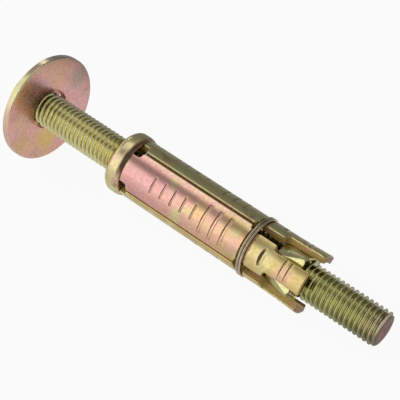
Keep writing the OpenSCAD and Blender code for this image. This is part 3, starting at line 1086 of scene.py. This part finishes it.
def build_nut(sizes, finish):
    """The cone nut, turned on square bar."""
    start, end = NUT_LOW.x, NUT_HIGH.x
    rows, sides = 90, 288
    nose_chamfer, mouth, soft = 0.35 * MM, 0.45 * MM, 0.15 * MM
    x = start + (end - start) * (0.5 - 0.5 * np.cos(np.linspace(0, math.pi, rows)))
    turns = np.arange(sides) * 2 * math.pi / sides
    slope = math.tan(sizes.cone)
    cone = sizes.nose + (x - start) * slope
    cone = soft_least(cone, sizes.nose - nose_chamfer + (x - start), soft)
    wide = sizes.nose + (end - start) * slope
    chamfer_slope = 0.9
    cone = soft_least(cone, wide - sizes.chamfer + (end - x) * chamfer_slope, soft)
    quarter = math.pi / 2
    flat = sizes.square / np.cos((turns % quarter) - quarter / 2)
    radius = soft_least(cone[:, None], flat[None, :], sizes.soft)
    bore = sizes.bore
    rings = [(bore, start + mouth), (bore + mouth, start), *zip(radius, x),
             (bore + mouth, end), (bore, end - mouth)]
    vertices = np.concatenate([round_points(place, r, turns) for r, place in rings])
    kinds = np.ones((len(rings), sides), int)
    # The flats get the bright film, a painted highlight, and the cone the dark one, painted shade
    kinds[2:2 + rows] = cone[:, None] < flat[None, :]
    item = mesh_object("cone_nut", vertices, ring_faces(len(rings), sides, True),
                       [nut_finish(finish), cone_finish(finish)], kinds.ravel())
    seat(item, "nut", "nut_zinc", "expander_nut")


# The camera's place and the right and upward directions of its picture, as in the photo
CAMERA_PLACE = Vector((0.1956, -0.2196, 0.3241))
CAMERA_RIGHT = Vector((0.7703, 0.6361, 0.0419))
CAMERA_UP = Vector((-0.5049, 0.5684, 0.6493))


def build_camera(sizes):
    """The camera, looking down on the anchor from beyond its tip."""
    data = bpy.data.cameras.new("camera")
    data.lens = sizes.lens
    data.sensor_width = 36.0
    data.clip_start, data.clip_end = 0.01, 50.0
    camera = placed("camera", data)
    back = CAMERA_RIGHT.cross(CAMERA_UP).normalized()
    right = CAMERA_UP.cross(back).normalized()
    turn = Matrix((right, back.cross(right), back)).transposed().to_4x4()
    camera.matrix_world = Matrix.Translation(CAMERA_PLACE) @ turn
    bpy.context.scene.camera = camera


def resting_plane():
    """Slope and height of the floor that touches the washer's rim and the segments' ends."""
    def points(*names):
        """The points of those CAD nodes."""
        return np.array([tuple(v.co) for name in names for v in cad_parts[name].data.vertices])

    rim = points("washer")
    ends = points("segment_front_bottom", "segment_back_bottom")
    low, high, halvings = 0.0, 0.3, 40
    for _ in range(halvings):
        slope = (low + high) / 2
        gap = (ends[:, 2] - slope * ends[:, 0]).min() - (rim[:, 2] - slope * rim[:, 0]).min()
        low, high = (slope, high) if gap > 0 else (low, slope)
    return slope, (rim[:, 2] - slope * rim[:, 0]).min()


# Levels of what the metal mirrors of the floor, from 0.1 m in front of the bolt to 0.1 m behind;
# the darker bands are painted shadow of the anchor on the floor
FLOOR_BANDS = ((0.0, 0.98), (0.28, 0.85), (0.38, 0.72), (0.46, 0.85), (0.62, 0.85), (0.72, 0.25),
               (1.0, 0.2))


def floor_finish():
    """White paper that glows to the camera and shows the metal bands of grey, painted shadow of
    the anchor.
    """
    material = bpy.data.materials.new("floor_white")
    tree = empty_tree(material)
    paper = add(tree, "ShaderNodeBsdfDiffuse", {"Color": (0.9, 0.9, 0.9, 1.0)})
    x, y, _ = separate(tree, add(tree, "ShaderNodeTexCoord").outputs["Object"])
    mirrored_shadow_tone = greys(tree, spread(tree, y, -0.1, 0.1), FLOOR_BANDS)
    mirrored_shadow_tone = toward(tree, mirrored_shadow_tone, grey(0.85), x, 105 * MM, 180 * MM)
    # Painted shadow: the floor that the metal mirrors turns dark under the tip
    under_tip = spread(tree, x, 70 * MM, 95 * MM)
    nearby = spread(tree, maths(tree, "ABSOLUTE", y), 35 * MM, 12 * MM)
    mirrored_shadow_tone = mixed(tree, maths(tree, "MULTIPLY", under_tip, nearby), mirrored_shadow_tone, grey(0.3))
    path = tree.nodes.new("ShaderNodeLightPath").outputs
    mirrored = maths(tree, "MAXIMUM", path["Is Glossy Ray"], path["Is Transmission Ray"])
    tone = mixed(tree, mirrored, grey(1.0), mirrored_shadow_tone)
    white = add(tree, "ShaderNodeEmission", {"Color": tone, "Strength": 1.0})
    glow_seen, glow_mirrored = 0.93, 0.65
    glow = maths(tree, "MULTIPLY_ADD", mirrored, glow_mirrored,
                 maths(tree, "MULTIPLY", path["Is Camera Ray"], glow_seen))
    both = add(tree, "ShaderNodeMixShader", {0: glow, 1: paper.outputs[0], 2: white.outputs[0]})
    add(tree, "ShaderNodeOutputMaterial", {"Surface": both.outputs[0]})
    return material


def build_floor(sizes):
    """The plain pale floor under the washer's rim and the lower segments."""
    slope, height = resting_plane()
    half = sizes.floor
    corners = [(x, y, height + slope * x)
               for x, y in ((-half, -half), (half, -half), (half, half), (-half, half))]
    mesh = bpy.data.meshes.new("floor")
    mesh.from_pydata(corners, [], [(0, 1, 2, 3)])
    mesh.materials.append(floor_finish())
    placed("floor", mesh)


# Levels of the sky over the bolt: 0 is behind it at the horizon, 0.5 overhead, 1 in front
HEADWARD_SKY = ((0.0, 0.26), (0.06, 0.20), (0.20, 0.24), (0.30, 0.34), (0.355, 1.2), (0.47, 1.2),
                (0.50, 0.60), (0.545, 0.25), (0.60, 0.22), (0.65, 0.5), (0.72, 0.9), (1.0, 1.0))
TIPWARD_SKY = ((0.0, 0.28), (0.06, 0.25), (0.20, 0.28), (0.30, 0.40), (0.355, 0.95),
               (0.45, 0.95), (0.50, 0.65), (0.57, 0.55), (0.64, 0.72), (0.70, 0.9), (1.0, 1.0))
FAR_HEADWARD_SKY = ((0.0, 0.25), (0.46, 0.25), (0.53, 0.95), (1.0, 1.0))


def build_world():
    """A sky of soft banks: bright in front, a strip overhead, dark behind and towards the tip.

    The banks meet at shares of the direction's X, Y and Z, which go from -1 to 1.
    """
    world = bpy.data.worlds.new("studio")
    bpy.context.scene.world = world
    tree = empty_tree(world)
    x, y, z = separate(tree, add(tree, "ShaderNodeTexCoord").outputs["Generated"])
    over = maths(tree, "DIVIDE", maths(tree, "ARCTAN2", z, y), math.pi)
    sky = greys(tree, over, HEADWARD_SKY)
    sky = toward(tree, sky, greys(tree, over, TIPWARD_SKY), x, -0.36, -0.31)
    sky = toward(tree, sky, greys(tree, over, FAR_HEADWARD_SKY), x, -0.50, -0.56)
    horizon = toward(tree, grey(0.95), grey(0.22), y, -0.2, 0.3)
    sky = toward(tree, sky, horizon, z, 0.34, 0.14)
    behind_head, beyond_tip = grey(0.95), grey(0.68)
    dim = toward(tree, grey(0.10), grey(0.38), y, -0.86, -0.94)
    sky = toward(tree, sky, behind_head, x, -0.80, -0.90)
    sky = toward(tree, sky, dim, x, -0.08, 0.08)
    sky = toward(tree, sky, beyond_tip, x, 0.60, 0.80)
    light = add(tree, "ShaderNodeBackground", {"Color": sky, "Strength": 1.0})
    add(tree, "ShaderNodeOutputWorld", {"Surface": light.outputs[0]})


LAMP_DISTANCE = 1.0
SHIELD_MIDDLE = Vector((0.035, 0, 0))


def build_lamp(name, way, side, radiance):
    """A square lamp with sides of that length, which faces the shield from that way."""
    data = bpy.data.lights.new(name, "AREA")
    data.shape = "RECTANGLE"
    data.size, data.size_y = side, side
    data.energy = radiance * math.pi * side * side
    way = Vector(way).normalized()
    turn = way.to_track_quat("Z", "Y").to_matrix().to_4x4()
    lamp = placed(name, data)
    lamp.matrix_world = Matrix.Translation(SHIELD_MIDDLE + way * LAMP_DISTANCE) @ turn


def build_stage(sizes):
    """Floor, sky, lamps and camera."""
    build_camera(sizes)
    build_floor(sizes)
    build_world()
    build_lamp("key_lamp", way=(-0.39, -0.76, 0.52), side=0.7, radiance=0.25)
    build_lamp("kicker_lamp", way=(-0.69, 0.56, 0.46), side=0.14, radiance=3.0)
    bpy.context.scene.view_settings.view_transform = "Standard"


class ANCHOR_OT_bolt(bpy.types.Operator):
    """Make the threaded bolt with its hexagon head"""
    bl_idname = "anchor.bolt"
    bl_label = "Threaded bolt"

    def execute(self, context):
        build_bolt(context.scene.anchor_bolt, context.scene.anchor_finish)
        return {"FINISHED"}


class ANCHOR_OT_washer(bpy.types.Operator):
    """Make the plain washer that leans on the bolt"""
    bl_idname = "anchor.washer"
    bl_label = "Plain washer"

    def execute(self, context):
        build_washer(context.scene.anchor_washer, context.scene.anchor_finish)
        return {"FINISHED"}


class ANCHOR_OT_ferrule(bpy.types.Operator):
    """Make the drawn ferrule that holds the segments"""
    bl_idname = "anchor.ferrule"
    bl_label = "Drawn ferrule"

    def execute(self, context):
        build_ferrule(context.scene.anchor_ferrule, context.scene.anchor_finish)
        return {"FINISHED"}


class ANCHOR_OT_segments(bpy.types.Operator):
    """Make the four pressed segments of the shield"""
    bl_idname = "anchor.segments"
    bl_label = "Pressed segments"

    def execute(self, context):
        build_segments(context.scene.anchor_shield, context.scene.anchor_finish)
        return {"FINISHED"}


class ANCHOR_OT_ring(bpy.types.Operator):
    """Make the wire ring of two turns"""
    bl_idname = "anchor.ring"
    bl_label = "Wire ring"

    def execute(self, context):
        build_ring(context.scene.anchor_ring, context.scene.anchor_finish)
        return {"FINISHED"}


class ANCHOR_OT_nut(bpy.types.Operator):
    """Make the expander nut with its cone"""
    bl_idname = "anchor.nut"
    bl_label = "Cone nut"

    def execute(self, context):
        build_nut(context.scene.anchor_nut, context.scene.anchor_finish)
        return {"FINISHED"}


class ANCHOR_OT_stage(bpy.types.Operator):
    """Make the floor, the light and the camera"""
    bl_idname = "anchor.stage"
    bl_label = "Stage"

    def execute(self, context):
        build_stage(context.scene.anchor_stage)
        return {"FINISHED"}


OPERATORS = (ANCHOR_OT_stage, ANCHOR_OT_bolt, ANCHOR_OT_washer, ANCHOR_OT_ferrule,
             ANCHOR_OT_segments, ANCHOR_OT_ring, ANCHOR_OT_nut)


class ANCHOR_PT_panel(bpy.types.Panel):
    """Lists the pieces of the anchor"""
    bl_label = "Anchor"
    bl_idname = "ANCHOR_PT_panel"
    bl_space_type = "VIEW_3D"
    bl_region_type = "UI"
    bl_category = "Anchor"

    def draw(self, context):
        for operator in OPERATORS:
            self.layout.operator(operator.bl_idname)
        for name, group in GROUPS.items():
            box = self.layout.box()
            box.label(text=group.__doc__)
            for key in group.__annotations__:
                box.prop(getattr(context.scene, name), key)


def register():
    """Adds the sizes, the operators and the panel."""
    for group in GROUPS.values():
        bpy.utils.register_class(group)
    for name, group in GROUPS.items():
        setattr(bpy.types.Scene, name, PointerProperty(type=group))
    for item in (*OPERATORS, ANCHOR_PT_panel):
        bpy.utils.register_class(item)


def unregister():
    """Takes them away again, last first."""
    for item in (ANCHOR_PT_panel, *reversed(OPERATORS)):
        bpy.utils.unregister_class(item)
    for name in GROUPS:
        delattr(bpy.types.Scene, name)
    for group in reversed(GROUPS.values()):
        bpy.utils.unregister_class(group)


def main():
    """Registers the add-on and makes every piece."""
    register()
    bpy.ops.anchor.stage()
    bpy.ops.anchor.bolt()
    bpy.ops.anchor.washer()
    bpy.ops.anchor.ferrule()
    bpy.ops.anchor.segments()
    bpy.ops.anchor.ring()
    bpy.ops.anchor.nut()


if __name__ == "__main__":
    main()
